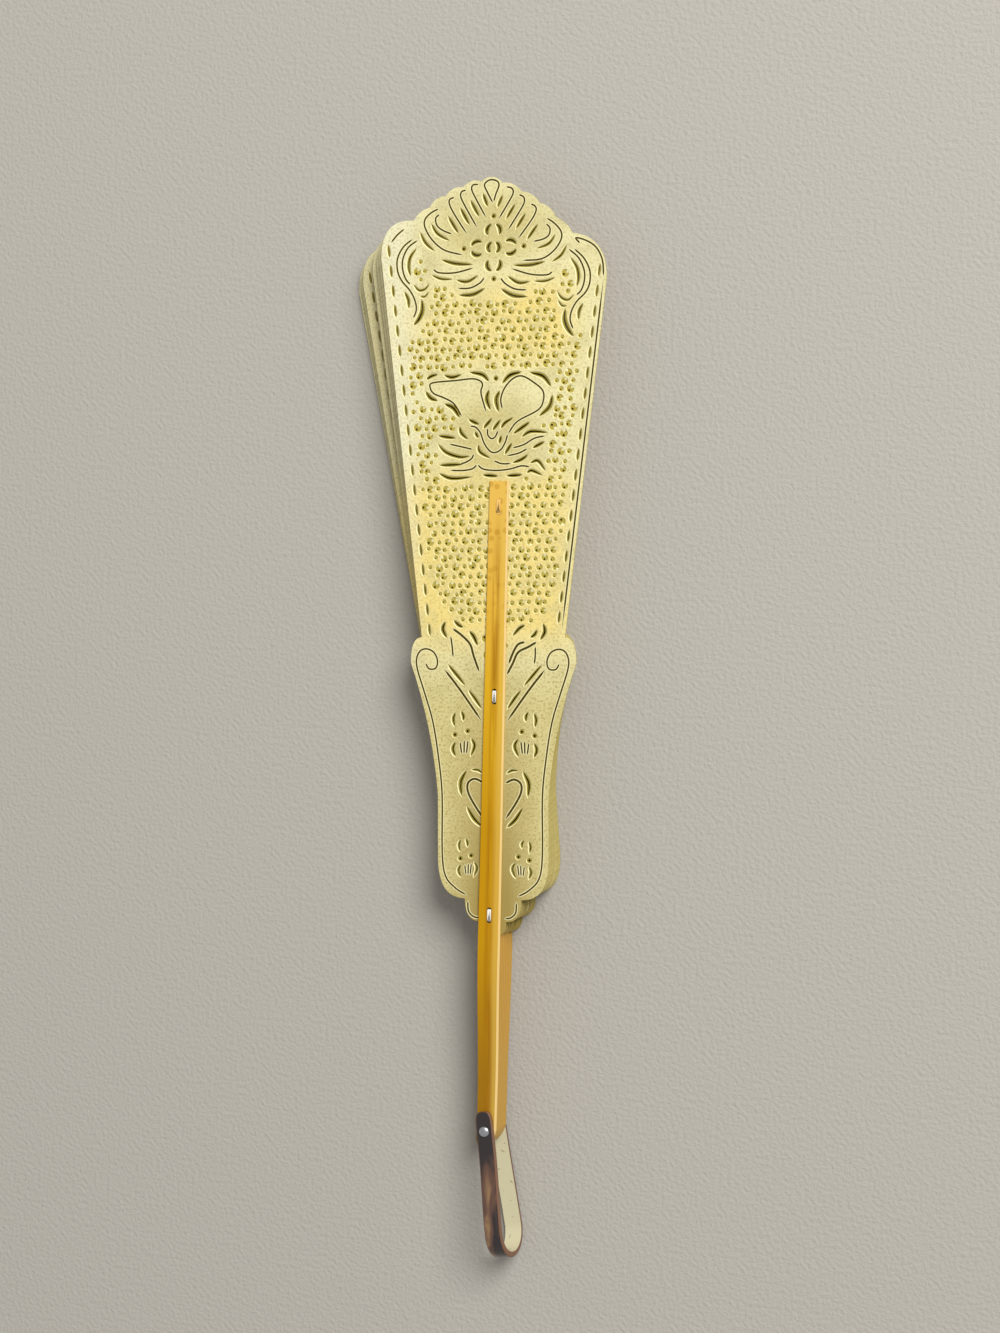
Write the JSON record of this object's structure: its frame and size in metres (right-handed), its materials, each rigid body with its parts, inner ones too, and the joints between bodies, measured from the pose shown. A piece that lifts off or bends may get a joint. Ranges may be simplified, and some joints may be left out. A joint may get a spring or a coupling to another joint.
{
  "type": "folding fan",
  "caption": "Closed brisé hand fan of pierced parchment blades stitched to horn sticks that open about one rivet, with a U-shaped horn loop to hang it by.",
  "frame": {"origin": "centre of the rivet's flat tail, on the rivet's axis, in the plane the fan lies on", "axes": "+Z along the rivet, out of the fan's front; +Y from the rivet along the closed front blade to its tip"},
  "size_m": [0.0865, 0.3412, 0.0183],
  "materials": {
    "parchment": "painted rawhide, satin, pierced",
    "amber_horn": "polished amber horn",
    "thread": "twisted white thread",
    "rivet_steel": "peened",
    "dark_horn": "polished dark mottled horn, pale inside"
  },
  "bodies": {
    "rear_blade": {"leaf_8": "parchment", "stick_8": "amber_horn", "stitch_upper_8": "thread", "stitch_middle_8": "thread", "stitch_lower_8": "thread", "rivet": "rivet_steel"},
    "blade_1": {"leaf_1": "parchment", "stick_1": "amber_horn", "stitch_upper_1": "thread", "stitch_middle_1": "thread", "stitch_lower_1": "thread"},
    "blade_2": {"leaf_2": "parchment", "stick_2": "amber_horn", "stitch_upper_2": "thread", "stitch_middle_2": "thread", "stitch_lower_2": "thread"},
    "blade_3": {"leaf_3": "parchment", "stick_3": "amber_horn", "stitch_upper_3": "thread", "stitch_middle_3": "thread", "stitch_lower_3": "thread"},
    "blade_4": {"leaf_4": "parchment", "stick_4": "amber_horn", "stitch_upper_4": "thread", "stitch_middle_4": "thread", "stitch_lower_4": "thread"},
    "blade_5": {"leaf_5": "parchment", "stick_5": "amber_horn", "stitch_upper_5": "thread", "stitch_middle_5": "thread", "stitch_lower_5": "thread"},
    "blade_6": {"leaf_6": "parchment", "stick_6": "amber_horn", "stitch_upper_6": "thread", "stitch_middle_6": "thread", "stitch_lower_6": "thread"},
    "blade_7": {"leaf_7": "parchment", "stick_7": "amber_horn", "stitch_upper_7": "thread", "stitch_middle_7": "thread", "stitch_lower_7": "thread"},
    "loop": {"loop": "dark_horn"}
  },
  "joints": [
    {"name": "blade_1_swing", "type": "hinge", "parent": "rear_blade", "child": "blade_1", "pos_m": [0, 0, 0], "axis": [0, 0, -1], "range_deg": [0, 96.96]},
    {"name": "blade_2_swing", "type": "hinge", "parent": "rear_blade", "child": "blade_2", "pos_m": [0, 0, 0], "axis": [0, 0, -1], "range_deg": [0, 83.12]},
    {"name": "blade_3_swing", "type": "hinge", "parent": "rear_blade", "child": "blade_3", "pos_m": [0, 0, 0], "axis": [0, 0, -1], "range_deg": [0, 69.28]},
    {"name": "blade_4_swing", "type": "hinge", "parent": "rear_blade", "child": "blade_4", "pos_m": [0, 0, 0], "axis": [0, 0, -1], "range_deg": [0, 55.44]},
    {"name": "blade_5_swing", "type": "hinge", "parent": "rear_blade", "child": "blade_5", "pos_m": [0, 0, 0], "axis": [0, 0, -1], "range_deg": [0, 41.58]},
    {"name": "blade_6_swing", "type": "hinge", "parent": "rear_blade", "child": "blade_6", "pos_m": [0, 0, 0], "axis": [0, 0, -1], "range_deg": [0, 27.72]},
    {"name": "blade_7_swing", "type": "hinge", "parent": "rear_blade", "child": "blade_7", "pos_m": [0, 0, 0], "axis": [0, 0, -1], "range_deg": [0, 13.86]},
    {"name": "loop_swing", "type": "hinge", "parent": "rear_blade", "child": "loop", "pos_m": [0, 0, 0], "axis": [0, 0, 1], "range_deg": [-150, 55]}
  ],
  "couplings": [
    {"joint": "blade_2_swing", "follows": "blade_1_swing", "ratio": 0.85726},
    {"joint": "blade_3_swing", "follows": "blade_1_swing", "ratio": 0.71452},
    {"joint": "blade_4_swing", "follows": "blade_1_swing", "ratio": 0.57178},
    {"joint": "blade_5_swing", "follows": "blade_1_swing", "ratio": 0.42883},
    {"joint": "blade_6_swing", "follows": "blade_1_swing", "ratio": 0.28589},
    {"joint": "blade_7_swing", "follows": "blade_1_swing", "ratio": 0.14294}
  ]
}
